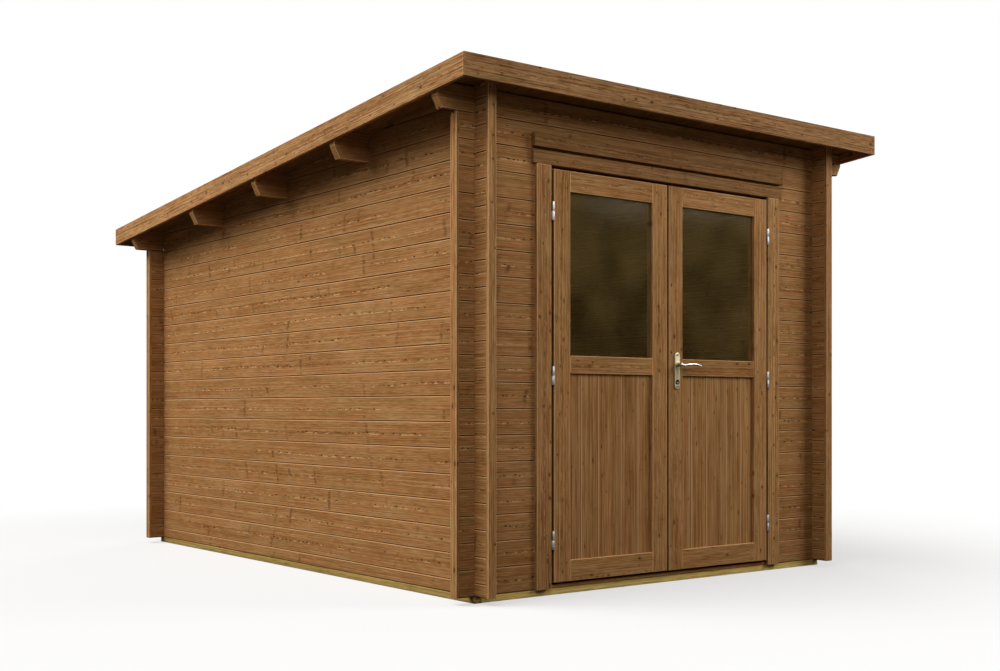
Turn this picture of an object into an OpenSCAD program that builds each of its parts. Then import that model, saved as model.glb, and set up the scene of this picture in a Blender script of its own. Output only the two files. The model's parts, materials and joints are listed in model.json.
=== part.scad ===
// Log garden shed with a lean-to roof that falls to the back and a pair of glazed doors in
// the high front wall. Millimetres, +Z up, doors face -Y, origin on the ground under the
// middle of the roof.

/* [Shed] */
// Width over the outer faces of the side walls
shed_w = 2270; // [2000:10:3000]
// Depth over the outer faces of the front and back walls
shed_d = 3280; // [2400:10:4200]
// Height of the front wall over the doorway's head, up to the underside of the roof boards
front_h = 294; // [260:1:400]
// Fall of the roof towards the back, in degrees
roof_fall = 4.9; // [3:0.1:7]

/* [Logs] */
// Thickness of a log
log_t = 44; // [36:1:56]
// Height of one course of logs
course_h = 114; // [100:1:130]
// Length of the log ends that pass the corners, beyond the wall faces
stub = 80; // [60:1:110]
// Chamfer that makes the V line between two courses
log_chamfer = 4; // [2:0.5:7]
// Width of the tongue on top of a log
tongue_w = 14; // [10:1:18]
// Height of the tongue on top of a log
tongue_h = 8; // [5:1:12]
// Thickness of the boards that cover the log ends
corner_board_t = 16; // [10:1:25]

/* [Base and floor] */
// Height of the base beams
base_h = 30; // [20:1:60]
// Width of the base beams
beam_w = 40; // [30:1:60]
// Distance that the front and back beams stand behind the wall faces
beam_setback = 4; // [0:1:20]
// Number of joists between the front and back beams
joist_count = 4; // [2:1:6]
// Thickness of the floor boards
floor_t = 18; // [14:1:24]

/* [Roof] */
// Overhang of the roof past the wall faces, to the outside of the edge boards
overhang = 210; // [170:1:300]
// Thickness of the roof boards
deck_t = 18; // [14:1:24]
// Thickness of the roofing felt
felt_t = 4; // [3:0.5:8]
// Thickness of the roof edge boards
fascia_t = 18; // [14:1:26]
// Height of the front and side edge boards
fascia_h = 98; // [80:1:140]
// Rise of the edge boards' top above the underside of the roof boards
fascia_rise = 48; // [34:1:60]
// Height of the back edge board
back_fascia_h = 68; // [50:1:90]
// Width of a purlin
purlin_w = 44; // [36:1:60]
// Height of a purlin at its front face
purlin_h = 130; // [100:1:160]
// Length of the slanted cut along the bottom of a purlin's end
end_cut_run = 30; // [10:1:50]
// Height of the slanted cut at a purlin's end
end_cut_rise = 58; // [30:1:80]

/* [Doors] */
// Width of one door leaf
leaf_w = 704; // [560:1:760]
// Height of a door leaf
leaf_h = 1836; // [1700:1:2100]
// Thickness of a door leaf
leaf_t = 40; // [36:1:48]
// Bottom edge of the leaves above the logs' foot
leaf_foot = 27; // [24:1:40]
// Gap between a leaf and the frame, at the sides and the top
hinge_gap = 15; // [14:0.5:20]
// Gap between the two closed leaves
meeting_gap = 8; // [7:0.5:14]
// Width of the stiles
stile_w = 95; // [80:1:120]
// Height of the top rail
top_rail_h = 93; // [70:1:120]
// Height of the lock rail
lock_rail_h = 80; // [60:1:120]
// Lower edge of the lock rail above the bottom edge of the leaf
lock_rail_z = 930; // [800:1:1000]
// Height of the bottom rail
bottom_rail_h = 95; // [80:1:160]
// Thickness of the lower panel
panel_t = 15; // [12:1:18]
// Distance of the panel and the glass behind the front of the leaf
panel_recess = 14; // [8:1:16]
// Thickness of the glass
glass_t = 4; // [3:1:6]
// Depth of the groove for the panel, and of the rebate for the glass
rebate = 10; // [8:1:14]

/* [Door surround] */
// Width of the side casings
casing_w = 83; // [60:1:110]
// Thickness of the casings, flush with the front of the leaves
casing_t = 18; // [14:1:22]
// Height of the head casing
head_casing_h = 61; // [50:1:90]
// Overhang of the head casing past the side casings
head_overhang = 20; // [0:1:40]
// Height of the drip cap over the door
drip_cap_h = 61; // [40:1:70]
// Thickness of the drip cap
drip_cap_t = 28; // [20:1:40]
// Gap between the head casing and the drip cap
drip_cap_gap = 11; // [5:1:20]
// Thickness of the door jambs
jamb_t = 22; // [18:1:30]
// Height of the threshold board
threshold_h = 16; // [12:1:18]
// Width of the inner casings
inner_casing_w = 60; // [50:1:80]

/* [Hinges and handle] */
// Diameter of the hinge barrels
barrel_d = 11; // [10:0.5:13.5]
// Height of a hinge, both barrels together
barrel_h = 82; // [60:1:120]
// Distance of the hinge axis in front of the door faces
axis_proud = 3; // [2:0.5:6]
// Diameter of the hinge pin
pin_d = 7; // [5:0.5:8]
// Distance from the end of a leaf to the middle of its outer hinges
hinge_inset = 188; // [140:1:300]
// Width of the handle's back plate
plate_w = 35; // [30:1:50]
// Height of the handle's back plate
plate_h = 177; // [160:1:240]
// Thickness of the handle's back plate
plate_t = 6; // [4:0.5:9]
// Rise of the plate's middle over the midpoint between spindle and keyhole
plate_lift = 11; // [0:0.5:14]
// Diameter of the collar round the lever's hub
collar_d = 26; // [23:0.5:28]
// Height of the collar above the back plate
collar_h = 4; // [2:0.5:8]
// Distance of the handle's spindle from the meeting edge of the leaf
backset = 55; // [45:1:60]
// Height of the spindle above the bottom edge of the leaf
spindle_z = 981; // [900:1:1000]
// Distance from the spindle down to the keyhole
keyhole_drop = 78; // [60:1:92]
// Length of the lever
lever_l = 130; // [100:1:140]
// Distance of the lever's arm in front of the back plate
lever_reach = 30; // [26:1:55]

/* [Hidden] */
$fn = 48;

// Clearances: between courses, beside notches, under the roof boards, and round the hinge pin
fit_gap = 0.4;
notch_gap = 0.5;
seat_gap = 0.3;
pin_gap = 0.05;
// Clearance of the panel and the glass in their groove and rebate
glazing_gap = 0.3;
// Overrun of every cut past the face that it opens
over = 5;
// Share of a course that a log's end keeps above and below its notches
lap_share = 0.25;
// Thinnest end that is left on a log under the sloping roof
feather = 9;
// Front faces of the purlins, as shares of the depth from the front wall
purlin_shares = [0.256, 0.5, 0.73];
// Clearance of the door stops behind the closed leaves, and their lap over the leaves' edges
stop_gap = 6;
stop_lap = 12;
// Least height of the lintel
lintel_least = 30;
// Hinge plate: thickness, depth on the edge, and play between the two barrels
hinge_plate_t = 2.5;
hinge_plate_d = 28;
barrel_play = 0.6;
// Spindle and hub of the lever, with the play in the plate and the leaf
spindle_d = 9;
hub_d = 18;
hub_play = 0.25;
spindle_play = 2;
// Keyhole: its round top and its slot
keyhole_d = 8;
keyhole_slot_w = 4;
keyhole_slot_h = 10;
// Rise of the lever along its length, its thickness there, and where, as shares
lever_along_shares = [0, 0.14, 0.32, 0.54, 0.76, 1];
lever_rise_shares = [0, -0.013, 0.016, 0.037, 0.028, -0.02];
lever_thick_shares = [1, 0.82, 0.78, 0.77, 0.74, 0.62];
lever_d = 15;

fall = tan(roof_fall);
half_w = shed_w / 2;
front_y = -shed_d / 2;
back_y = shed_d / 2;
foot = base_h;
lap = course_h * lap_share;
log_mid = log_t / 2;
half_course = course_h / 2;

// Head of the doorway, and the underside of the roof boards at the front, above the logs' foot
head_z = leaf_foot + leaf_h + hinge_gap;
wall_h = head_z + front_h;

// Courses of the walls: the front and back start with a whole log, the sides with a half one
front_courses = floor(wall_h / course_h);
door_courses = ceil((head_z + lintel_least) / course_h);
back_h = wall_h - shed_d * fall;
back_top_z = back_h - course_h;
back_courses = floor(back_top_z / course_h - lap_share);
side_courses = ceil((wall_h + stub * fall + half_course) / course_h);
top_log_h = course_h * 2;

// Outline of the roof in plan
roof_x = half_w + overhang;
roof_y = back_y + overhang;
deck_x = roof_x - fascia_t;
deck_y = roof_y - fascia_t;
deck_tv = deck_t / cos(roof_fall);
felt_tv = felt_t / cos(roof_fall);
beam_end_x = deck_x - notch_gap;

// Doorway
leaf_front_y = front_y - casing_t;
leaf_z = foot + leaf_foot;
leaf_edge_x = leaf_w + meeting_gap / 2;
jamb_x = leaf_edge_x + hinge_gap;
opening_x = jamb_x + jamb_t + notch_gap;
casing_x = jamb_x + casing_w;
head_x = casing_x + head_overhang;
inner_y = front_y + log_t;
hinge_x = leaf_edge_x + hinge_gap / 2;
hinge_y = leaf_front_y - axis_proud;
hinge_zs = [hinge_inset, leaf_h / 2, leaf_h - hinge_inset];
glass_z = lock_rail_z + lock_rail_h;
glass_top = leaf_h - top_rail_h;
light_w = leaf_w - 2 * stile_w;

wood = "#8a5f3a";
wood_light = "#a9794c";
wood_dark = "#6b4626";
treated = "#8c8048";
metal = "#b9b9b4";

// Underside of the roof boards at a depth y
function roof_z(y) = foot + wall_h - (y - front_y) * fall;

// Cross-section of a log: tongue on top, groove below, V edges on both faces
function log_profile(h, groove, tongue) = concat(
    [[0, log_chamfer], [log_chamfer, 0]],
    groove ? [
        [log_mid - tongue_w / 2 - fit_gap, 0],
        [log_mid - tongue_w / 2 - fit_gap, tongue_h + fit_gap],
        [log_mid + tongue_w / 2 + fit_gap, tongue_h + fit_gap],
        [log_mid + tongue_w / 2 + fit_gap, 0]
    ] : [],
    [[log_t - log_chamfer, 0], [log_t, log_chamfer], [log_t, h - log_chamfer], [log_t - log_chamfer, h]],
    tongue ? [
        [log_mid + tongue_w / 2, h],
        [log_mid + tongue_w / 2, h + tongue_h],
        [log_mid - tongue_w / 2, h + tongue_h],
        [log_mid - tongue_w / 2, h]
    ] : [],
    [[log_chamfer, h], [0, h - log_chamfer]]);

// Box between two corners
module block(low, high) {
    translate(low) cube(high - low);
}

// Prism of a (y, z) outline, from x0 to x1
module prism_x(x0, x1, outline) {
    translate([x0, 0, 0]) rotate([90, 0, 90]) linear_extrude(x1 - x0) polygon(outline);
}

// Prism of an (x, z) outline, from y0 to y1
module prism_y(y0, y1, outline) {
    translate([0, y1, 0]) rotate([90, 0, 0]) linear_extrude(y1 - y0) polygon(outline);
}

// Everything that lies under the roof boards between y0 and y1
module under_roof(y0, y1) {
    prism_x(-roof_x, roof_x, [[y0, 0], [y1, 0], [y1, roof_z(y1) - seat_gap], [y0, roof_z(y0) - seat_gap]]);
}

// Notches above and below a log where the other wall passes, x0 to x1 and y0 to y1
module corner_notch(x0, x1, y0, y1, z, h, below, above) {
    if (below)
        block([x0, y0, z - over], [x1, y1, z + lap + fit_gap / 2]);
    if (above)
        block([x0, y0, z + h - lap - fit_gap / 2], [x1, y1, z + h + course_h]);
}

// Log of the front or back wall from x0 to x1, its outer corner at y, its foot at z
module cross_log(x0, x1, y, z, h, groove, tongue, above) {
    difference() {
        translate([0, y, z])
            prism_x(x0, x1, log_profile(h - fit_gap, groove, tongue));
        for (side = [-1, 1]) {
            wall_x = side * (half_w - log_mid);
            if (wall_x > x0 && wall_x < x1)
                corner_notch(wall_x - log_mid - notch_gap, wall_x + log_mid + notch_gap,
                    y - over, y + log_t + over, z, h, true, above);
        }
    }
}

// Whole or split course k of the front wall, from x0 to x1
module front_log(k, x0, x1, tongue) {
    cross_log(x0, x1, front_y, foot + k * course_h, course_h, k > 0, tongue, true);
}

// Outline of a beam with slanted ends that reaches the roof's edge boards
function beam_outline(z0, z1) = [
    [-beam_end_x + end_cut_run, z0], [beam_end_x - end_cut_run, z0], [beam_end_x, z0 + end_cut_rise],
    [beam_end_x, z1], [-beam_end_x, z1], [-beam_end_x, z0 + end_cut_rise]];

// Top log of the front or back wall: its ends run out under the roof, slanted like the purlins
module top_log(y, z, above) {
    intersection() {
        cross_log(-beam_end_x, beam_end_x, y, z, above ? course_h : top_log_h, true, false, above);
        prism_y(y - over, y + log_t + over, beam_outline(z - over, z + top_log_h));
        under_roof(y - over, y + log_t + over);
    }
}

// Log of a side wall, its outer face on the left side of the shed
module side_log(j) {
    z = foot + (j == 0 ? 0 : j * course_h - half_course);
    h = j == 0 ? half_course : course_h;
    crosses_back = j <= back_courses;
    roof_end = front_y + (foot + wall_h - z - feather) / fall;
    y0 = front_y - stub;
    y1 = min(crosses_back ? back_y + stub : back_y - log_t - notch_gap, roof_end);
    under = z + h + tongue_h > roof_z(y1) - seat_gap;
    difference() {
        intersection() {
            translate([-half_w, 0, z])
                prism_y(y0, y1, log_profile(h - fit_gap, j > 0, j < side_courses - 1));
            if (under)
                under_roof(y0, y1);
            else
                block([-roof_x, y0, 0], [0, y1, z + 2 * course_h]);
        }
        for (wall_y = crosses_back ? [front_y, back_y - log_t] : [front_y])
            corner_notch(-half_w - over, -half_w + log_t + over, wall_y - notch_gap,
                wall_y + log_t + notch_gap, z, h, j > 0, true);
        purlin_notches();
    }
}

// Front face and foot of purlin i
function purlin_y(i) = front_y + shed_d * purlin_shares[i];
function purlin_z(i) = roof_z(purlin_y(i)) - purlin_h;

// Notches that hold the purlins in the top of a side wall
module purlin_notches() {
    for (i = [0 : len(purlin_shares) - 1])
        block([-half_w - over, purlin_y(i) - notch_gap, purlin_z(i) - fit_gap],
            [-half_w + log_t + over, purlin_y(i) + purlin_w + notch_gap, foot + wall_h + course_h]);
}

// Base and floor

module side_beams() {
    color(treated)
        for (side = [0, 1])
            mirror([side, 0, 0])
                block([-half_w, front_y, 0], [-half_w + beam_w, back_y, base_h]);
}

module cross_beams() {
    color(treated)
        for (side = [0, 1])
            mirror([0, side, 0])
                block([-half_w + beam_w, front_y + beam_setback, 0],
                    [half_w - beam_w, front_y + beam_setback + beam_w, base_h]);
}

module floor_joists() {
    first_y = front_y + beam_setback + beam_w / 2;
    span = -2 * first_y;
    color(treated)
        for (i = [1 : joist_count]) {
            y = first_y + span * i / (joist_count + 1);
            block([-half_w + beam_w, y - beam_w / 2, 0], [half_w - beam_w, y + beam_w / 2, base_h]);
        }
}

module floor_boards() {
    x = half_w - log_t - notch_gap;
    y = back_y - log_t - notch_gap;
    color(wood_light)
        block([-x, -y, foot], [x, y, foot + floor_t]);
}

// Log walls

module left_wall() {
    color(wood)
        for (j = [0 : side_courses - 1])
            side_log(j);
}

module right_wall() {
    mirror([1, 0, 0])
        left_wall();
}

module back_wall() {
    color(wood) {
        for (k = [0 : back_courses - 1])
            cross_log(-half_w - stub, half_w + stub, back_y - log_t, foot + k * course_h, course_h,
                k > 0, true, true);
        cross_log(-half_w - stub, half_w + stub, back_y - log_t, foot + back_courses * course_h,
            back_top_z - back_courses * course_h, true, true, false);
        top_log(back_y - log_t, foot + back_top_z, false);
    }
}

module front_wall_left() {
    color(wood)
        for (k = [0 : door_courses - 1])
            front_log(k, -half_w - stub, -opening_x, true);
}

module front_wall_right() {
    mirror([1, 0, 0])
        front_wall_left();
}

module front_wall_top() {
    color(wood) {
        for (k = [door_courses : 1 : front_courses - 2])
            front_log(k, -half_w - stub, half_w + stub, true);
        top_log(front_y, foot + (front_courses - 1) * course_h, true);
    }
}

// Boards over the log ends of one corner: on the front or back wall's ends, and on the side's
module corner_boards(wall_top, side_top) {
    color(wood_light) {
        block([-half_w - stub - corner_board_t, front_y, foot], [-half_w - stub, front_y + log_t, wall_top]);
        block([-half_w, front_y - stub - corner_board_t, foot], [-half_w + log_t, front_y - stub, side_top]);
    }
}

module front_left_corner_boards() {
    corner_boards(foot + (front_courses - 1) * course_h - fit_gap, roof_z(front_y - stub) - seat_gap);
}

module front_right_corner_boards() {
    mirror([1, 0, 0])
        front_left_corner_boards();
}

module back_left_corner_boards() {
    mirror([0, 1, 0])
        corner_boards(foot + back_top_z - fit_gap, foot + back_courses * course_h + half_course - fit_gap);
}

module back_right_corner_boards() {
    mirror([1, 0, 0])
        back_left_corner_boards();
}

// Roof

module purlins() {
    color(wood_dark)
        for (i = [0 : len(purlin_shares) - 1])
            intersection() {
                prism_y(purlin_y(i), purlin_y(i) + purlin_w,
                    beam_outline(purlin_z(i), purlin_z(i) + purlin_h));
                under_roof(purlin_y(i) - over, purlin_y(i) + purlin_w + over);
            }
}

// Sheet that lies on the slope from y0 to y1, between two heights above the boards' underside
function slope_outline(y0, y1, low, high) = [
    [y0, roof_z(y0) + low], [y1, roof_z(y1) + low], [y1, roof_z(y1) + high], [y0, roof_z(y0) + high]];

module roof_deck() {
    color(wood_dark)
        prism_x(-deck_x, deck_x, slope_outline(-deck_y, deck_y, 0, deck_tv));
}

module roof_felt() {
    color("#4a4a4c")
        prism_x(-deck_x, deck_x, slope_outline(-deck_y, roof_y, deck_tv, deck_tv + felt_tv));
}

module front_fascia() {
    z1 = roof_z(-roof_y) + fascia_rise;
    color(wood_light)
        translate([0, 0, z1 - fascia_h])
            linear_extrude(fascia_h)
                polygon([[-roof_x, -roof_y], [roof_x, -roof_y], [deck_x, -deck_y], [-deck_x, -deck_y]]);
}

module back_fascia() {
    z1 = roof_z(roof_y) + deck_tv - seat_gap;
    color(wood_light)
        block([-deck_x, deck_y, z1 - back_fascia_h], [deck_x, roof_y, z1]);
}

module left_fascia() {
    color(wood_light)
        intersection() {
            prism_x(-roof_x, -deck_x, slope_outline(-roof_y, roof_y, fascia_rise - fascia_h, fascia_rise));
            linear_extrude(2 * (foot + wall_h))
                polygon([[-roof_x, -roof_y], [-deck_x, -deck_y], [-deck_x, roof_y], [-roof_x, roof_y]]);
        }
}

module right_fascia() {
    mirror([1, 0, 0])
        left_fascia();
}

// Door frame and surround

module door_jambs() {
    color(wood_dark)
        for (side = [0, 1])
            mirror([side, 0, 0])
                block([-jamb_x - jamb_t, front_y, foot], [-jamb_x, inner_y, foot + head_z]);
}

module door_lintel() {
    color(wood_dark)
        block([-jamb_x - jamb_t, front_y, foot + head_z],
            [jamb_x + jamb_t, inner_y, foot + door_courses * course_h - fit_gap]);
}

module door_stops() {
    y = leaf_front_y + leaf_t + stop_gap;
    stop_w = hinge_gap + stop_lap;
    color(wood_dark) {
        for (side = [0, 1])
            mirror([side, 0, 0])
                block([-jamb_x, y, foot + threshold_h], [-jamb_x + stop_w, inner_y, foot + head_z]);
        block([-jamb_x + stop_w + notch_gap, y, foot + head_z - stop_w],
            [jamb_x - stop_w - notch_gap, inner_y, foot + head_z]);
    }
}

module threshold() {
    color(wood_dark)
        block([-jamb_x, front_y, foot], [jamb_x, inner_y, foot + threshold_h]);
}

module side_casings() {
    color(wood)
        for (side = [0, 1])
            mirror([side, 0, 0])
                block([-casing_x, front_y - casing_t, foot], [-jamb_x, front_y, foot + head_z]);
}

module head_casing() {
    color(wood)
        block([-head_x, front_y - casing_t, foot + head_z],
            [head_x, front_y, foot + head_z + head_casing_h]);
}

module drip_cap() {
    z = foot + head_z + head_casing_h + drip_cap_gap;
    color(wood)
        block([-head_x, front_y - drip_cap_t, z], [head_x, front_y, z + drip_cap_h]);
}

module inner_casings() {
    x = jamb_x + inner_casing_w;
    color(wood) {
        for (side = [0, 1])
            mirror([side, 0, 0])
                block([-x, inner_y, foot + floor_t], [-jamb_x, inner_y + casing_t, foot + head_z - fit_gap]);
        block([-x, inner_y, foot + head_z], [x, inner_y + casing_t, foot + head_z + inner_casing_w]);
    }
}

// Hinges

// Lower half of a hinge on the frame: barrel with its pin, and the plate on the jamb
module frame_hinge_half() {
    half_h = barrel_h / 2;
    translate([0, 0, -half_h])
        cylinder(d = barrel_d, h = half_h - barrel_play / 2);
    translate([0, 0, -half_h])
        cylinder(d = pin_d, h = barrel_h - hinge_plate_t);
    block([-hinge_gap / 2, 0, -half_h],
        [-hinge_gap / 2 + hinge_plate_t, hinge_plate_d, -barrel_play / 2]);
}

// Upper half of a hinge on the leaf: bored barrel, and the plate on the leaf's edge
module leaf_hinge_half() {
    half_h = barrel_h / 2;
    difference() {
        union() {
            translate([0, 0, barrel_play / 2])
                cylinder(d = barrel_d, h = half_h - barrel_play / 2);
            block([hinge_gap / 2 - hinge_plate_t, 0, barrel_play / 2],
                [hinge_gap / 2, hinge_plate_d, half_h]);
        }
        translate([0, 0, -over])
            cylinder(d = pin_d + 2 * pin_gap, h = half_h + over - hinge_plate_t / 2);
    }
}

// Places of the three hinges of the left leaf
module hinge_places() {
    for (z = hinge_zs)
        translate([-hinge_x, hinge_y, leaf_z + z])
            children();
}

module frame_hinges() {
    color(metal)
        for (side = [0, 1])
            mirror([side, 0, 0])
                hinge_places()
                    frame_hinge_half();
}

module left_door_hinges() {
    color(metal)
        hinge_places()
            leaf_hinge_half();
}

module right_door_hinges() {
    mirror([1, 0, 0])
        left_door_hinges();
}

// Door leaves: the left one is drawn, and the right one mirrors it

// Box in the leaf's own measures: x from its hinge edge, y from its front, z from its foot
module leaf_block(low, high) {
    translate([-leaf_edge_x, leaf_front_y, leaf_z])
        block(low, high);
}

// Groove for the panel and rebate for the glass, over the whole width of the light
module leaf_grooves() {
    x0 = stile_w - rebate;
    x1 = leaf_w - stile_w + rebate;
    leaf_block([x0, panel_recess, bottom_rail_h - rebate],
        [x1, panel_recess + panel_t, lock_rail_z + rebate]);
    leaf_block([x0, panel_recess, glass_z - rebate], [x1, leaf_t + over, glass_top + rebate]);
}

module left_door_stiles() {
    color(wood)
        difference() {
            union() {
                leaf_block([0, 0, 0], [stile_w, leaf_t, leaf_h]);
                leaf_block([leaf_w - stile_w, 0, 0], [leaf_w, leaf_t, leaf_h]);
            }
            leaf_grooves();
        }
}

module left_door_rails() {
    x0 = stile_w;
    x1 = leaf_w - stile_w;
    color(wood)
        difference() {
            union() {
                leaf_block([x0, 0, 0], [x1, leaf_t, bottom_rail_h]);
                leaf_block([x0, 0, lock_rail_z], [x1, leaf_t, glass_z]);
                leaf_block([x0, 0, glass_top], [x1, leaf_t, leaf_h]);
            }
            leaf_grooves();
        }
}

module left_door_panel() {
    play = rebate - glazing_gap;
    color(wood)
        leaf_block([stile_w - play, panel_recess + glazing_gap, bottom_rail_h - play],
            [leaf_w - stile_w + play, panel_recess + panel_t - glazing_gap, lock_rail_z + play]);
}

module left_door_glass() {
    play = rebate - glazing_gap;
    color("#3c3a24", 0.6)
        leaf_block([stile_w - play, panel_recess + glazing_gap, glass_z - play],
            [leaf_w - stile_w + play, panel_recess + glazing_gap + glass_t, glass_top + play]);
}

// Beads that hold the glass from inside: two upright ones, and two between them
module left_door_beads() {
    y0 = panel_recess + glass_t + 2 * glazing_gap;
    x0 = stile_w - rebate + glazing_gap;
    x1 = leaf_w - x0;
    z0 = glass_z - rebate + glazing_gap;
    z1 = glass_top + rebate - glazing_gap;
    color(wood_dark) {
        leaf_block([x0, y0, z0], [x0 + rebate, leaf_t, z1]);
        leaf_block([x1 - rebate, y0, z0], [x1, leaf_t, z1]);
        leaf_block([x0 + rebate + fit_gap, y0, z0], [x1 - rebate - fit_gap, leaf_t, z0 + rebate]);
        leaf_block([x0 + rebate + fit_gap, y0, z1 - rebate], [x1 - rebate - fit_gap, leaf_t, z1]);
    }
}

// Right leaf: its meeting stile is bored for the handle's spindle
module right_door_stiles() {
    difference() {
        mirror([1, 0, 0])
            left_door_stiles();
        color(wood)
            at_spindle()
                translate([0, -over, 0])
                    along_y(spindle_d + 2 * spindle_play, leaf_t + 2 * over);
    }
}

module right_door_rails() {
    mirror([1, 0, 0])
        left_door_rails();
}

module right_door_panel() {
    mirror([1, 0, 0])
        left_door_panel();
}

module right_door_glass() {
    mirror([1, 0, 0])
        left_door_glass();
}

module right_door_beads() {
    mirror([1, 0, 0])
        left_door_beads();
}

// Handle on the right leaf

// Place of the spindle on the outside face of the right leaf
module at_spindle() {
    translate([meeting_gap / 2 + backset, leaf_front_y, leaf_z + spindle_z])
        children();
}

// Cylinder from the origin towards +Y
module along_y(d, h) {
    rotate([-90, 0, 0])
        cylinder(d = d, h = h);
}

// Back plate with round ends and a collar: the leaf's face is at y = 0, the plate stands out to -Y
module handle_plate() {
    top = (plate_h - keyhole_drop - plate_w) / 2 + plate_lift;
    collar_y = -plate_t - collar_h;
    difference() {
        union() {
            translate([0, -plate_t, top])
                along_y(plate_w, plate_t);
            translate([0, -plate_t, top - plate_h + plate_w])
                along_y(plate_w, plate_t);
            block([-plate_w / 2, -plate_t, top - plate_h + plate_w], [plate_w / 2, 0, top]);
            translate([0, collar_y, 0])
                along_y(collar_d, collar_h + plate_t);
        }
        translate([0, collar_y - over, 0])
            along_y(hub_d + 2 * hub_play, collar_h + plate_t + 2 * over);
        translate([0, -plate_t - over, -keyhole_drop]) {
            along_y(keyhole_d, plate_t + 2 * over);
            block([-keyhole_slot_w / 2, 0, -keyhole_slot_h], [keyhole_slot_w / 2, plate_t + 2 * over, 0]);
        }
    }
}

// Lever: a hub that turns in the plate, and a waved arm that tapers towards its tip
module lever() {
    arm_y = -plate_t - lever_reach;
    translate([0, arm_y, 0])
        along_y(hub_d, plate_t + lever_reach);
    for (i = [0 : len(lever_along_shares) - 2])
        hull()
            for (n = [i, i + 1])
                translate([lever_l * lever_along_shares[n], arm_y, lever_l * lever_rise_shares[n]])
                    sphere(d = lever_d * lever_thick_shares[n], $fn = 24);
}

module outside_handle_plate() {
    color(metal)
        at_spindle()
            handle_plate();
}

module inside_handle_plate() {
    color(metal)
        at_spindle()
            translate([0, leaf_t, 0])
                mirror([0, 1, 0])
                    handle_plate();
}

module outside_lever() {
    color(metal)
        at_spindle() {
            lever();
            along_y(spindle_d, leaf_t / 2);
        }
}

module inside_lever() {
    color(metal)
        at_spindle()
            translate([0, leaf_t, 0])
                mirror([0, 1, 0]) {
                    lever();
                    along_y(spindle_d, leaf_t / 2);
                }
}

side_beams();
cross_beams();
floor_joists();
floor_boards();
left_wall();
right_wall();
back_wall();
front_wall_left();
front_wall_right();
front_wall_top();
front_left_corner_boards();
front_right_corner_boards();
back_left_corner_boards();
back_right_corner_boards();
purlins();
roof_deck();
front_fascia();
back_fascia();
left_fascia();
right_fascia();
roof_felt();
door_jambs();
door_lintel();
door_stops();
threshold();
side_casings();
head_casing();
drip_cap();
inner_casings();
frame_hinges();
left_door_stiles();
left_door_rails();
left_door_panel();
left_door_glass();
left_door_beads();
left_door_hinges();
right_door_stiles();
right_door_rails();
right_door_panel();
right_door_glass();
right_door_beads();
right_door_hinges();
outside_handle_plate();
inside_handle_plate();
outside_lever();
inside_lever();
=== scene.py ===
import json
import math

import bpy
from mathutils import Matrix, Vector

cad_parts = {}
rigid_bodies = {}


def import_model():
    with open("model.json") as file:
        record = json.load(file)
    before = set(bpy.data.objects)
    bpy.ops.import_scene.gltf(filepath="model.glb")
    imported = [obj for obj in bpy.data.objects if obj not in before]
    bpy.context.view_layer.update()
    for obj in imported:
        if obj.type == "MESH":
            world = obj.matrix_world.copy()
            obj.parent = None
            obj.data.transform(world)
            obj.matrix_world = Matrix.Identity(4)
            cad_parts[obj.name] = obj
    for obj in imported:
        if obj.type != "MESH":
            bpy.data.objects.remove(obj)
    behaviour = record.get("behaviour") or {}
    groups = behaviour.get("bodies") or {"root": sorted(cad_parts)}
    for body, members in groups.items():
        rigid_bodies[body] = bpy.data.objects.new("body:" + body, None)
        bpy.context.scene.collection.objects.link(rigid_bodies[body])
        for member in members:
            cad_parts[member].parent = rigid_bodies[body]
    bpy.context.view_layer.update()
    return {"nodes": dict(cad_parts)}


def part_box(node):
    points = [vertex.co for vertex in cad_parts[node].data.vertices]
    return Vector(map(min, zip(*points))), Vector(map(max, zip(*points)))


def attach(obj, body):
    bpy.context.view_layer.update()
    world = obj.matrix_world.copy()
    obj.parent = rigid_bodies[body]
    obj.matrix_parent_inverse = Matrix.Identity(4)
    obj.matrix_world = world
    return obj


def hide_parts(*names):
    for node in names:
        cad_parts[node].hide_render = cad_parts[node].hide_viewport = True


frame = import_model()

# Viewpoint: a level camera at chest height, left of the doors, that sees the door front and the
# left wall. The focal length and the drop of the horizon are in pixels of the 1000 pixel image.
image_width_px = 1000
focal_px = 1297.6
horizon_drop_px = 72.6
sensor_mm = 36
camera_place = (-4.4205, -6.0599, 0.8314)
camera_tilt = math.radians(90)
camera_turn = math.radians(-37.75)
bpy.ops.object.camera_add(location=camera_place, rotation=(camera_tilt, 0, camera_turn))
camera = bpy.context.object
camera.name = "viewpoint"
camera.data.sensor_width = sensor_mm
camera.data.lens = focal_px * sensor_mm / image_width_px
camera.data.shift_y = horizon_drop_px / image_width_px
bpy.context.scene.camera = camera


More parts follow.
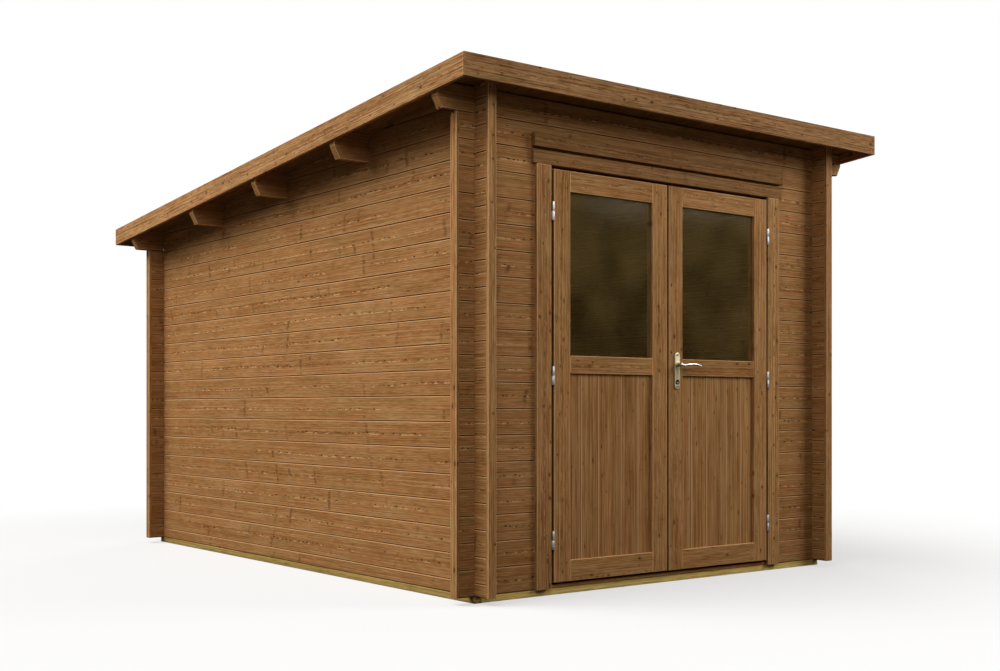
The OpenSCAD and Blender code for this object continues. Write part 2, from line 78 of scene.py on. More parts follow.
# Base: two side beams, two cross beams and the joists between them, of sawn softwood that was
# pressure treated, so it is olive green. They lie on the ground, and the logs stand on them.
class Flow:
    """A socket in a finish's node tree, or the tree alone. Arithmetic on it adds Math nodes."""

    # The Mix node's sockets for colours.
    mix_first = 6
    mix_second = 7
    mix_result = 2

    def __init__(self, tree, socket=None):
        self.tree = tree
        self.socket = socket

    def node(self, kind, settings, sockets, out=0):
        """Any other node: its settings come first, then its sockets get values or links. Gives one of
        its outputs, or all of them where out is None."""
        made = self.tree.nodes.new("ShaderNode" + kind)
        for name, value in settings.items():
            if name == "stops":
                ramp = made.color_ramp
                ramp.elements[0].position, ramp.elements[0].color = value[0]
                ramp.elements[1].position, ramp.elements[1].color = value[-1]
                for place, colour in value[1:-1]:
                    ramp.elements.new(place).color = colour
            else:
                setattr(made, name, value)
        for name, value in sockets.items():
            if isinstance(value, Flow):
                self.tree.links.new(value.socket, made.inputs[name])
            else:
                made.inputs[name].default_value = value
        if out is None:
            return [Flow(self.tree, socket) for socket in made.outputs]
        return Flow(self.tree, made.outputs[out])

    def math(self, operation, *values):
        return self.node("Math", {"operation": operation}, dict(enumerate(values)))

    def __add__(self, other):
        return self.math("ADD", self, other)

    def __radd__(self, other):
        return self.math("ADD", other, self)

    def __sub__(self, other):
        return self.math("SUBTRACT", self, other)

    def __rsub__(self, other):
        return self.math("SUBTRACT", other, self)

    def __mul__(self, other):
        return self.math("MULTIPLY", self, other)

    def __rmul__(self, other):
        return self.math("MULTIPLY", other, self)

    def __truediv__(self, other):
        return self.math("DIVIDE", self, other)

    def __rtruediv__(self, other):
        return self.math("DIVIDE", other, self)

    def floor(self):
        return self.math("FLOOR", self)

    def fraction(self):
        return self.math("FRACT", self)

    def size(self):
        return self.math("ABSOLUTE", self)

    def root(self):
        return self.math("SQRT", self)

    def sine(self):
        return self.math("SINE", self)

    def larger(self, other):
        return self.math("MAXIMUM", self, other)

    def least(self, other):
        return self.math("MINIMUM", self, other)

    def above(self, limit):
        return self.math("GREATER_THAN", self, limit)

    def rise(self, low, high):
        """Smooth step from 0 at low to 1 at high, falling where low is the larger."""
        return self.node("MapRange", {"interpolation_type": "SMOOTHSTEP"},
                         {"Value": self, "From Min": low, "From Max": high})

    def split(self):
        """The three numbers of a vector or colour."""
        return self.node("SeparateXYZ", {}, {"Vector": self}, out=None)

    def with_values(self, second, third):
        """A vector of this number and two more."""
        return self.node("CombineXYZ", {}, {"X": self, "Y": second, "Z": third})

    def noise(self, detail=2.0, rough=0.5, scale=1.0):
        """A soft random pattern over this vector."""
        sockets = {"Vector": self, "Scale": scale, "Detail": detail, "Roughness": rough}
        return self.node("TexNoise", {}, sockets)

    def ramp(self, *stops):
        """A colour that follows this number through the stops, each a place and a colour."""
        solid = [(place, (*colour, 1.0)) for place, colour in stops]
        return self.node("ValToRGB", {"stops": solid}, {"Fac": self})

    def mixed(self, other, share, blend="MIX"):
        """This colour with some of another one mixed in."""
        colour = other if isinstance(other, Flow) else (*other, 1.0)
        settings = {"data_type": "RGBA", "blend_type": blend}
        sockets = {"Factor": share, self.mix_first: self, self.mix_second: colour}
        return self.node("Mix", settings, sockets, out=self.mix_result)

    def feed(self, shader, name):
        self.tree.links.new(self.socket, shader.inputs[name])


def new_finish(name):
    """An empty finish: the material, its shader, and the place on the piece in metres."""
    finish = bpy.data.materials.new(name)
    finish.use_nodes = True
    tree = finish.node_tree
    place = Flow(tree).node("TexCoord", {}, {}, out="Object")
    return finish, tree.nodes["Principled BSDF"], place


def timber(name, lie, tones, seed, heart=0.0, knots=0.3, contrast=1.0, tint_spread=0.1, joint=None,
           grain=1.0, bead=0.045, knot_cell=(0.15, 0.042), knot_scale=1.0, foot_shade=None):
    """Stained sawn softwood. lie gives the place along the grain, across the board from its middle
    and through it, and the board's number. tones are the dark, middle and light colour, and seed
    sets the finish apart from others. heart is the strength of the dashed heart line, and bead the
    spacing of the marks on it. knots is the share of knots that show, knot_cell their spacing along
    and across the board, and knot_scale their size in it. contrast is the strength of the grain,
    grain stretches its fibres along the board, and tint_spread is how far boards differ. joint
    gives the distances from a board's two long edges: painted shade gathers at the first one, with
    a painted highlight as a pale rim beside it, and the second one, where there is one, gets a
    painted highlight. The last argument gives the share of painted shade towards the ground."""
    finish, shader, place = new_finish(name)
    dark, middle, light = tones
    along, across, depth, board = lie(*place.split())
    own_number = {"W": board + seed}
    dice = place.node("TexWhiteNoise", {"noise_dimensions": "1D"}, own_number, out="Color").split()
    longest_shift = 40.0
    run = along + dice[0] * longest_shift

    def figure(along_scale, across_scale, third, detail, rough=0.5):
        """A random pattern that is drawn out along the grain."""
        return (run * along_scale).with_values(across * across_scale, third).noise(detail, rough)

    def scattered(dimensions, sockets):
        """Points at random: three random numbers of the nearest one, and the distance from it."""
        settings = {"voronoi_dimensions": dimensions}
        sockets = {**sockets, "Scale": 1.0}
        numbers = place.node("TexVoronoi", settings, sockets, out="Color").split()
        return numbers, place.node("TexVoronoi", settings, sockets, out="Distance")

    def times(tone, share):
        """A tone made lighter or darker."""
        return [part * share for part in tone]

    # The grain: fine fibres, long streaks, a slow cloud and the dark late wood of the year rings.
    fibre = figure(13.0 / grain, 200.0, depth * 200.0, 4.0, 0.65)
    streak = figure(1.7 / grain, 105.0, depth * 105.0, 3.0, 0.6)
    cloud = figure(5.0, 14.0, dice[1] * 30.0, 3.0)
    wander = (run * 1.1).with_values(dice[1] * 60.0, 0.0).noise(1.0)
    widest_wander = 0.03
    offset = across + (wander - 0.5) * widest_wander
    pith_depth = 0.008 + dice[2] * 0.03
    ring_radius = (offset * offset + pith_depth * pith_depth).root()
    ring_density = 900.0
    late = ((ring_radius * ring_density + fibre * 6.0).sine() + 1.0) * 0.5
    tone = fibre * 0.44 + streak * 0.34 + late * 0.08 + cloud * 0.14
    tone = (tone - 0.5) * contrast + 0.5
    colour = tone.ramp((0.36, dark), (0.5, middle), (0.64, light))

    # The tint: each board is a little lighter or darker, and redder or greener in places.
    low = 1.0 - tint_spread
    high = 1.0 + tint_spread * 0.7
    tint = dice[1].ramp((0.0, (low, low * 0.98, low * 0.95)), (1.0, (high, high, high)))
    colour = colour.mixed(tint, 1.0, "MULTIPLY")
    hue = figure(2.4 / grain, 90.0, depth * 90.0 + 5.0, 2.0)
    red_or_green = hue.ramp((0.4, (1.06, 0.97, 0.9)), (0.6, (0.96, 1.03, 0.96)))
    colour = colour.mixed(red_or_green, 1.0, "MULTIPLY")

    # The knots: dark, of many sizes, each with a brown ring round it.
    knot_place = (run / knot_cell[0]).with_values(across / knot_cell[1] + dice[2] * 9.0, 0.0)
    knot_dice, knot_distance = scattered("2D", {"Vector": knot_place})
    knot_reach = knot_distance / ((0.03 + knot_dice[1] * knot_dice[1] * 0.06) * knot_scale)
    chosen = knot_dice[0].rise(1.0 - knots, 1.02 - knots)
    marks = (knot_reach + fibre * 2.0 - 1.0).rise(1.4, 0.5) * chosen * (0.45 + knot_dice[2] * 0.55)
    knot_ring = (knot_reach + fibre).rise(2.8, 1.2) * chosen
    colour = colour.mixed(times(dark, 0.7), knot_ring * 0.4)

    # The heart line: dark marks along it, pale flecks beside it, and spike knots that run out of it.
    if heart:
        bead_dice, bead_reach = scattered("1D", {"W": run / bead})
        bead_size = bead_dice[0] * bead_dice[0]
        shown = (run * 1.6).with_values(dice[2] * 50.0, 3.0).noise(1.0).rise(0.36, 0.5) * heart
        near_heart = (offset + (bead_dice[2] - 0.5) * 0.006).size() / (0.0014 + bead_size * 0.0016)
        dot = (bead_reach / (0.08 + bead_size * 0.18)).rise(1.3, 0.7) * near_heart.rise(1.5, 0.7)
        marks = marks.larger(dot * bead_dice[1].above(0.2) * shown)
        fleck = (run * 26.0).with_values(dice[2] * 50.0, across * 40.0).noise(2.0).rise(0.5, 0.6)
        pale_line = (offset + 0.004).size().rise(0.0042, 0.0016) * fleck
        colour = colour.mixed(times(light, 1.25), pale_line * shown * 0.85)
        spike_spacing = 0.2
        spike_run = run + offset * (dice[1] - 0.5) * 0.8 + cloud * 0.03 + fibre * 0.02
        spike_dice, spike_reach = scattered("1D", {"W": spike_run / spike_spacing})
        upward = offset.rise(-0.003, 0.005) * spike_dice[0].above(0.35)
        downward = offset.rise(0.003, -0.005) * (1.0 - spike_dice[0].above(0.65))
        smudge = figure(14.0, 60.0, dice[2] * 9.0, 2.0).rise(0.36, 0.58)
        spike_end = offset.size().rise(0.062, 0.034) * spike_dice[1].rise(0.35, 0.9)
        spread = (upward + downward) * spike_end * smudge * heart
        colour = colour.mixed(times(dark, 0.48), spike_reach.rise(0.1, 0.0) * spread * 0.68)
    colour = colour.mixed((dark[0] * 0.24, dark[1] * 0.2, dark[2] * 0.16), marks * 0.9)

    # The edges: painted shade at a joint, with a pale rim of painted highlight beside it, and a painted
    # highlight on the other long edge.
    if joint:
        shade_edge, highlight_edge = joint(*place.split())
        painted_highlight = shade_edge.rise(0.0032, 0.0045) * shade_edge.rise(0.0095, 0.0065) * 0.4
        if highlight_edge:
            painted_highlight = painted_highlight + highlight_edge.rise(0.005, 0.003) * 0.68
        colour = colour.mixed(times(light, 1.2), painted_highlight)
        colour = colour.mixed(times(dark, 0.2), shade_edge.rise(0.0038, 0.0018) * 0.75)
    # Painted shade towards the ground, darkest in a thin line at the foot.
    if foot_shade:
        colour = colour.mixed(times(dark, 0.6), foot_shade(*place.split()))

    colour.feed(shader, "Base Color")
    (0.8 - fibre * 0.2).feed(shader, "Roughness")
    shader.inputs["Specular IOR Level"].default_value = 0.04
    relief = fibre * 0.7 + late * 0.3 - marks * 0.5
    bump_sockets = {"Strength": 0.4, "Distance": 0.001, "Height": relief}
    place.node("Bump", {}, bump_sockets).feed(shader, "Normal")
    return finish


def dress(node, finish):
    """Gives a CAD node its finish."""
    for place in frame["nodes"][node].material_slots:
        place.material = finish


def eased(node, edge, finish, body="shed", segments=2, arris=None):
    """A copy of a CAD node with its sharp edges planed off, in place of the node. The planed edges
    take the arris finish where there is one."""
    weld_distance = 0.00002
    flat_angle = math.radians(0.5)
    sharp_angle = math.radians(30)
    bpy.ops.object.select_all(action="DESELECT")
    source = frame["nodes"][node]
    source.select_set(True)
    bpy.context.view_layer.objects.active = source
    bpy.ops.object.duplicate()
    piece = bpy.context.object
    bpy.ops.object.parent_clear(type="CLEAR_KEEP_TRANSFORM")
    for key in list(piece.keys()):
        del piece[key]
    piece.name = node + "_eased"
    bpy.ops.object.mode_set(mode="EDIT")
    bpy.ops.mesh.select_all(action="SELECT")
    bpy.ops.mesh.remove_doubles(threshold=weld_distance)
    bpy.ops.mesh.dissolve_limited(angle_limit=flat_angle)
    bpy.ops.object.mode_set(mode="OBJECT")
    bevel = piece.modifiers.new("edges", "BEVEL")
    bevel.width = edge
    bevel.segments = segments
    bevel.limit_method = "ANGLE"
    bevel.angle_limit = sharp_angle
    piece.data.materials.clear()
    piece.data.materials.append(finish)
    if arris:
        piece.data.materials.append(arris)
        bevel.material = 1
    bpy.ops.object.modifier_apply(modifier=bevel.name)
    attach(piece, body)
    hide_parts(node)


narrow_edge = 0.002
cross_spacing = 0.5
treated_tones = ((0.19, 0.125, 0.034), (0.34, 0.235, 0.078), (0.47, 0.345, 0.13))
# The cross beams and joists take a lighter copy of the olive: painted light, so that the front beam looks
# lit under the wall's shadow.
lit_cross_tones = ((0.38, 0.253, 0.067), (0.65, 0.454, 0.143), (0.82, 0.61, 0.224))


def side_beam_lie(x, y, z):
    return y, z, x, x.above(0.0)


def cross_beam_lie(x, y, z):
    return x, z, y, (y / cross_spacing).floor()


beam_side = timber("treated_side", side_beam_lie, treated_tones, seed=3.0)
lit_beam_cross = timber("treated_cross_painted_light", cross_beam_lie, lit_cross_tones, seed=5.0)
eased("side_beams", narrow_edge, beam_side)
eased("cross_beams", narrow_edge, lit_beam_cross)
eased("floor_joists", narrow_edge, lit_beam_cross)

# Floor: planed tongue and groove softwood boards that run from front to back over the joists,
# nailed down, with a fine V line at each joint.
floor_low, floor_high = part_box("floor_boards")
floor_board_count = 19
floor_board_w = (floor_high.x - floor_low.x) / floor_board_count
floor_v = 0.0015
floor_tones = ((0.24, 0.13, 0.055), (0.40, 0.235, 0.105), (0.52, 0.33, 0.16))


def block(low, high):
    """A plain block between two corners."""
    bpy.ops.object.select_all(action="DESELECT")
    middle = [(near + far) / 2 for near, far in zip(low, high)]
    spans = [far - near for near, far in zip(low, high)]
    bpy.ops.mesh.primitive_cube_add(size=1, location=middle, scale=spans)
    bpy.ops.object.transform_apply(location=True, rotation=True, scale=True)
    return bpy.context.object


def planed(depth):
    """Planes all the edges of the block that was just added."""
    bpy.ops.object.mode_set(mode="EDIT")
    bpy.ops.mesh.select_all(action="SELECT")
    bpy.ops.mesh.bevel(offset=depth, segments=1, affect="EDGES")
    bpy.ops.object.mode_set(mode="OBJECT")


def row_of_boards(name, low, high, count, edge):
    """Boards side by side along X between two corners, with planed edges that make a V at a joint."""
    width = (high[0] - low[0]) / count
    piece = block(low, (low[0] + width, high[1], high[2]))
    piece.name = name
    planed(edge)
    repeat = piece.modifiers.new("row", "ARRAY")
    repeat.count = count
    repeat.use_relative_offset = False
    repeat.use_constant_offset = True
    repeat.constant_offset_displace = (width, 0, 0)
    bpy.ops.object.modifier_apply(modifier=repeat.name)
    return piece


def finished(piece, finish, slot, body, *nodes):
    """Gives a new piece its finish and its body, and hides the CAD nodes that it stands for. The slot is
    not used.
    """
    piece.data.materials.clear()
    piece.data.materials.append(finish)
    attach(piece, body)
    if nodes:
        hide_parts(*nodes)


def in_row(place, width):
    """The place across a board from its middle, and the board's number in a row that starts at 0."""
    count = place / width
    return (count.fraction() - 0.5) * width, count.floor()


def floor_lie(x, y, z):
    across, number = in_row(x - floor_low.x, floor_board_w)
    return y, across, z, number


floor_finish = timber("floor_board_wood", floor_lie, floor_tones, seed=11.0, heart=0.5)
floor_boards = row_of_boards("floor_board_row", floor_low, floor_high, floor_board_count, floor_v)
finished(floor_boards, floor_finish, "floor_timber", "shed", "floor_boards")

# Walls: planed spruce logs with a brown stain, stacked on tongues and grooves, with a V line at
# each joint. Crossed ends notched into each other hold the corners. The grain runs along a log,
# with the dashed heart line near its middle and spike knots that run out from it.
log_tones = ((0.185, 0.075, 0.021), (0.318, 0.154, 0.058), (0.45, 0.255, 0.120))
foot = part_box("left_wall")[0].z
course_h = 0.114
back_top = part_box("back_left_corner_boards")[1].z - foot
back_top_number = 17
close_bead = 0.03
wide_bead = 0.045
# Painted shade on the lowest logs: how high it reaches, and the height of the dark line at the foot.
foot_shade_top = 0.5
foot_shade_line = 0.01


def front_log(x, y, z):
    across, number = in_row(z - foot, course_h)
    return x, across, y, number * 2.0 + x.above(0.0)


def long_log(x, y, z):
    across, number = in_row(z - foot, course_h)
    return x, across, y, number


def back_log(x, y, z):
    height = z - foot
    lift = back_top_number * course_h - back_top
    across, number = in_row(height + height.above(back_top) * lift, course_h)
    return x, across, y, number


def side_log(x, y, z):
    across, number = in_row(z - foot + course_h / 2, course_h)
    return y, across, x, number * 2.0 + x.above(0.0)


def logs(name, lie, seed, bead):
    """The finish of a wall's logs, with painted shade under each log and a painted highlight on its
    upper edge. Towards the ground the logs are darkened with painted shade, most of all where they stand on
    the base."""
    def edges(x, y, z):
        across = lie(x, y, z)[1]
        return across + course_h / 2, course_h / 2 - across

    def foot_shade(x, y, z):
        height = z - foot
        return height.rise(foot_shade_top, 0.0) * 0.09 + height.rise(foot_shade_line, 0.4 * foot_shade_line) * 0.6

    return timber(name, lie, log_tones, seed, heart=1.0, knots=0.04, tint_spread=0.05, joint=edges,
                  bead=bead, foot_shade=foot_shade)


front_wood = logs("front_logs", front_log, 21.0, close_bead)
dress("front_wall_left", front_wood)
dress("front_wall_right", front_wood)
dress("front_wall_top", logs("front_top_logs", long_log, 91.0, close_bead))
dress("back_wall", logs("back_logs", back_log, 131.0, close_bead))
side_wood = logs("side_logs", side_log, 171.0, wide_bead)
dress("left_wall", side_wood)
dress("right_wall", side_wood)

# Corner boards: planed spruce boards in the walls' brown stain, nailed over the log ends at the
# four corners. They have small dark knots; their planed edges are worn and have a painted highlight.
trim_tones = ((0.20, 0.087, 0.027), (0.33, 0.166, 0.066), (0.45, 0.257, 0.120))
pale_tones = ((0.44, 0.235, 0.100), (0.62, 0.365, 0.172), (0.76, 0.48, 0.25))
corner_board_w = 0.09
diagonal = 0.7
broad_edge = 0.003
small_knots = {"knot_cell": (0.1, 0.06), "knot_scale": 1.25}


def arris_lie(x, y, z):
    return x + y + z, x - y, z, x * 0.0


def corner_lie(x, y, z):
    number = (x / corner_board_w).floor() + (y / corner_board_w).floor() * 7.0
    return z, (x + y) * diagonal, (x - y) * diagonal, number


# The planed edges of several boards take a pale finish: wear, and painted highlight where an edge catches
# the light.
arris_wear_and_highlight = timber("arris_wear_and_highlight_wood", arris_lie, pale_tones, seed=29.0, knots=0.0)
upright_trim = timber("corner_board_wood", corner_lie, trim_tones, seed=31.0, heart=0.5, knots=0.6,
                      contrast=1.5, **small_knots)
for corner in ("front_left", "front_right", "back_left", "back_right"):
    eased(corner + "_corner_boards", broad_edge, upright_trim, arris=arris_wear_and_highlight)

# Purlins: three planed beams on edge, stained like the logs, that carry the roof. They are let into
# the tops of the side walls, and their ends are sawn at a slant under the eaves.
roof_fall = math.tan(math.radians(4.9))
purlin_middle_z = 1.85
purlin_spacing = 0.4


def purlin_lie(x, y, z):
    return x, z + y * roof_fall - purlin_middle_z, y, (y / purlin_spacing).floor()


beam_wood = timber("purlin_wood", purlin_lie, log_tones, seed=41.0, heart=0.4)
eased("purlins", broad_edge, beam_wood, arris=arris_wear_and_highlight)

# Roof boards: planed tongue and groove softwood boards in a brown stain, nailed to the purlins from
# front to back, with a V line at each joint. Their colour is darkened with painted shade, as under the
# eaves.
deck_low, deck_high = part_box("roof_deck")
deck_board_count = 28
deck_board_w = (deck_high.x - deck_low.x) / deck_board_count
deck_depth = deck_high.y - deck_low.y
deck_t = deck_high.z - deck_low.z - deck_depth * roof_fall
deck_v = 0.003
eave_shaded_soffit_tones = ((0.10, 0.041, 0.012), (0.175, 0.084, 0.031), (0.25, 0.140, 0.064))


def lowered_to_slope(piece, start_y):
    """Drops every point of a level piece by the roof's fall behind start_y."""
    for point in piece.data.vertices:
        point.co.z -= (point.co.y - start_y) * roof_fall


def deck_lie(x, y, z):
    across, number = in_row(x - deck_low.x, deck_board_w)
    return y, across, z, number


level_low = (deck_low.x, deck_low.y, deck_high.z - deck_t)
roof_boards = row_of_boards("roof_board_row", level_low, deck_high, deck_board_count, deck_v)
lowered_to_slope(roof_boards, deck_low.y)
deck_finish = timber("roof_board_wood", deck_lie, eave_shaded_soffit_tones, seed=51.0, heart=0.3)
finished(roof_boards, deck_finish, "roof_timber", "shed", "roof_deck")

# Edge boards: planed spruce boards in brown stain, nailed round the edge of the roof and mitred at
# the front corners. The grain follows the board, with small dark knots.
fascia_tones = ((0.15, 0.062, 0.019), (0.335, 0.172, 0.072), (0.48, 0.283, 0.140))
front_fascia_tones = ((0.115, 0.047, 0.014), (0.262, 0.133, 0.054), (0.385, 0.223, 0.108))
side_edge_low, side_edge_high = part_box("left_fascia")
front_edge_low, front_edge_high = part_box("front_fascia")
edge_h = front_edge_high.z - front_edge_low.z
front_edge_middle = (front_edge_low.z + front_edge_high.z) / 2
back_edge_drop = 0.29
mitre_gap = 0.001


def side_edge_lie(x, y, z):
    level_z = z + (y - side_edge_low.y) * roof_fall
    return y, level_z - side_edge_high.z + edge_h / 2, x, x.above(0.0)


def front_edge_lie(x, y, z):
    at_back = y.above(0.0)
    return x, z - front_edge_middle + at_back * back_edge_drop, y, at_back


# The mitres get painted shade, with a pale rim of painted highlight beside them.
def side_mitre(x, y, z):
    return y - side_edge_low.y + mitre_gap, None


def front_mitre(x, y, z):
    return x.size() * -1.0 - side_edge_low.x + mitre_gap, None


side_fascia = timber("side_edge_board_wood", side_edge_lie, fascia_tones, seed=61.0, heart=0.5,
                     knots=0.6, contrast=1.3, joint=side_mitre, **small_knots)
front_fascia = timber("front_edge_board_wood", front_edge_lie, front_fascia_tones, seed=71.0,
                      heart=0.4, knots=0.6, contrast=1.3, joint=front_mitre, **small_knots)
eased("left_fascia", narrow_edge, side_fascia)
eased("right_fascia", narrow_edge, side_fascia)
eased("front_fascia", narrow_edge, front_fascia)
eased("back_fascia", narrow_edge, front_fascia)

# Felt: bitumen felt with a grey mineral face, in four strips across the roof. Each strip is lapped
# over the one below and nailed to the roof boards, with slight ripples.
felt_low, felt_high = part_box("roof_felt")
felt_strips = 4
felt_lap = 0.09
felt_t = 0.003
felt_cuts = 24
lap_lift = felt_t * 1.1
ripple_h = 0.0008
ripple_across = 5.1
ripple_along = 7.3
felt_span = (felt_high.y - felt_low.y) / felt_strips


def felt_strip(number):
    """One strip of felt, its lower edge on top of the next strip."""
    start = felt_low.y + felt_span * number
    end = min(start + felt_span + felt_lap, felt_high.y)
    strip = block((felt_low.x, start, felt_high.z - felt_t), (felt_high.x, end, felt_high.z))
    bpy.ops.object.mode_set(mode="EDIT")
    bpy.ops.mesh.select_all(action="SELECT")
    bpy.ops.mesh.subdivide(number_cuts=felt_cuts)
    bpy.ops.object.mode_set(mode="OBJECT")
    on_next_strip = number < felt_strips - 1
    for point in strip.data.vertices:
        near_end = max(0.0, 1 - (end - point.co.y) / (2 * felt_lap))
        ripple = math.sin(point.co.x * ripple_across + number)
        ripple *= math.sin(point.co.y * ripple_along + 2 * number)
        point.co.z += lap_lift * near_end * on_next_strip + ripple_h * ripple
    lowered_to_slope(strip, felt_low.y)
    return strip


def joined(name, pieces):
    """Several pieces as one."""
    bpy.ops.object.select_all(action="DESELECT")
    for piece in pieces:
        piece.select_set(True)
    bpy.context.view_layer.objects.active = pieces[0]
    bpy.ops.object.join()
    pieces[0].name = name
    return pieces[0]


felt_finish, felt_shader, felt_place = new_finish("mineral_felt")
grit = felt_place.noise(2.0, scale=420.0)
weathered = felt_place.noise(4.0, scale=2.3)
felt_dark = (0.022, 0.023, 0.025)
felt_grey = (0.060, 0.062, 0.066)
felt_pale = (0.13, 0.132, 0.138)
felt_colour = (grit * 0.88 + weathered * 0.12).ramp((0.36, felt_dark), (0.52, felt_grey), (0.66, felt_pale))
felt_colour.feed(felt_shader, "Base Color")
(0.8 + grit * 0.2).feed(felt_shader, "Roughness")
felt_shader.inputs["Specular IOR Level"].default_value = 0.2
felt_bump = {"Strength": 0.6, "Distance": 0.001, "Height": grit}
felt_place.node("Bump", {}, felt_bump).feed(felt_shader, "Normal")
felt = joined("felt_strips", [felt_strip(number) for number in range(felt_strips)])
finished(felt, felt_finish, "roof_felt", "shed", "roof_felt")

# Door frame: jambs, lintel and stops of planed softwood, nailed into the doorway. Their brown stain
# is darkened with painted shade, as in the narrow gaps round the doors. The threshold under the doors
# is stained like the logs.
gap_shaded_frame_tones = ((0.085, 0.034, 0.010), (0.15, 0.069, 0.025), (0.21, 0.108, 0.044))


def jamb_lie(x, y, z):
    return z, x, y, x.above(0.0)


def lintel_lie(x, y, z):
    return x, y, z, z.above(0.5)


def threshold_lie(x, y, z):
    return x, y, z, x * 0.0


frame_upright = timber("frame_upright_wood", jamb_lie, gap_shaded_frame_tones, seed=81.0)
frame_level = timber("frame_level_wood", lintel_lie, gap_shaded_frame_tones, seed=83.0)
threshold_wood = timber("threshold_wood", threshold_lie, log_tones, seed=85.0)
eased("door_jambs", narrow_edge, frame_upright)
eased("door_stops", narrow_edge, frame_upright)
eased("door_lintel", narrow_edge, frame_level)
eased("threshold", broad_edge, threshold_wood)

# Casings: planed boards nailed round the doorway, flush with the doors, and a thicker drip cap over
# them that throws the rain clear. Inside, plainer boards cover the joint of frame and logs.
casing_tones = ((0.20, 0.086, 0.026), (0.355, 0.178, 0.069), (0.48, 0.274, 0.128))
# The head casing and drip cap take a darker copy of the casing colour: painted shade from the eave.
eave_shaded_head_tones = ((0.125, 0.052, 0.016), (0.222, 0.107, 0.040), (0.31, 0.172, 0.077))
casing_middle_x = 0.764
casing_spacing = 0.5
inner_casing_y = -1.6
head_board_h = 0.066


def side_casing_lie(x, y, z):
    number = (x / casing_spacing).floor() + y.above(inner_casing_y) * 9.0
    return z, x.size() - casing_middle_x, y, number


def head_casing_lie(x, y, z):
    across, number = in_row(z, head_board_h)
    return x, across, y, number


casing_upright = timber("side_casing_wood", side_casing_lie, casing_tones, seed=87.0, heart=0.5,
                        knots=0.6, contrast=1.25, **small_knots)
casing_level = timber("head_casing_wood", head_casing_lie, eave_shaded_head_tones, seed=89.0, heart=0.5,
                      knots=0.5, contrast=1.1, **small_knots)
eased("side_casings", broad_edge, casing_upright, arris=arris_wear_and_highlight)
eased("head_casing", broad_edge, casing_level)
eased("drip_cap", broad_edge, casing_level)
eased("inner_casings", broad_edge, casing_upright)

# Door leaves: stiles and rails of planed timber, tenoned and glued. The stiles run through from
# top to bottom, with upright grain, and the rails lie between them.
door_tones = ((0.20, 0.086, 0.026), (0.345, 0.170, 0.064), (0.46, 0.260, 0.118))
leaf_meeting_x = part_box("right_door_stiles")[0].x
leaf_outer_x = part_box("right_door_stiles")[1].x
leaf_board_w = 0.12
leaf_board_spacing = 0.3


def stile_lie(x, y, z):
    return z, in_row(x, leaf_board_w)[0], y, (x / leaf_board_spacing).floor()


def rail_lie(x, y, z):
    number = (z / leaf_board_spacing).floor() * 2.0 + x.above(0.0)
    return x, in_row(z, leaf_board_w)[0], y, number


def shaded_leaf_edges(x, y, z):
    """The distance from a leaf's upright edges, which are darkened with painted shade, as in the gaps
    beside them.
    """
    return (leaf_outer_x - x.size()).least(x.size() - leaf_meeting_x), None


stile_wood = timber("stile_wood", stile_lie, door_tones, seed=101.0, heart=0.4, knots=0.6,
                    contrast=1.3, joint=shaded_leaf_edges, **small_knots)
rail_wood = timber("rail_wood", rail_lie, door_tones, seed=103.0, heart=0.6, knots=0.5,
                   contrast=1.2, **small_knots)
for side in ("left", "right"):
    body = side + "_door"
    eased(side + "_door_stiles", broad_edge, stile_wood, body, arris=arris_wear_and_highlight)
    eased(side + "_door_rails", broad_edge, rail_wood, body, arris=arris_wear_and_highlight)
    eased(side + "_door_beads", narrow_edge, stile_wood, body)

# Door panels: five tongue and groove softwood boards of mixed widths in each leaf, stained like it.
# They stand upright in the grooves of the leaf, with a V at each joint.
panel_board_widths = (0.0817, 0.106, 0.139, 0.108)
panel_edge = 0.003


def panel_board(start, end, low, high):
    """One upright board of a panel, with planed edges that make a V at a joint."""
    board = block((start, low.y, low.z), (end, high.y, high.z))
    planed(panel_edge)
    return board


def panel_wood(name, joints, seed):
    """The finish of a panel whose boards meet at the four given places across the leaf."""
    def lie(x, y, z):
        number = sum((x.above(line) for line in joints), 0.0)
        return z, x - joints[1], y, number

    def nearest(x, shift, rest):
        """The distance from the nearest line, each of them shift to the left of its joint, plus rest."""
        gaps = [(x - line + shift).size() + rest for line in joints]
        return gaps[0].least(gaps[1]).least(gaps[2].least(gaps[3]))

    # Painted shade in each V joint, and a painted highlight a little to the right of it.
    def edges(x, y, z):
        return nearest(x, 0.0005, 0.0014), nearest(x, -0.005, 0.0008)

    return timber(name, lie, door_tones, seed, knots=0.75, contrast=1.6, joint=edges, grain=3.0)


for side, seed in (("left", 107.0), ("right", 117.0)):
    node = side + "_door_panel"
    low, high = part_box(node)
    counts = range(1, len(panel_board_widths) + 1)
    joints = [low.x + sum(panel_board_widths[:count]) for count in counts]
    sides = [low.x, *joints, high.x]
    boards = [panel_board(start, end, low, high) for start, end in zip(sides, sides[1:])]
    panel = joined(node + "_boards", boards)
    finished(panel, panel_wood(node + "_wood", joints, seed), "door_timber", side + "_door", node)

# Glass: one clear pane in each leaf, held from inside by beads. A thin olive film lies on it: a little
# uneven dust and painted reflection, with more painted reflection towards the top.
glass_finish, glass_shader, glass_place = new_finish("door_pane")
pane_low, pane_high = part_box("left_door_glass")
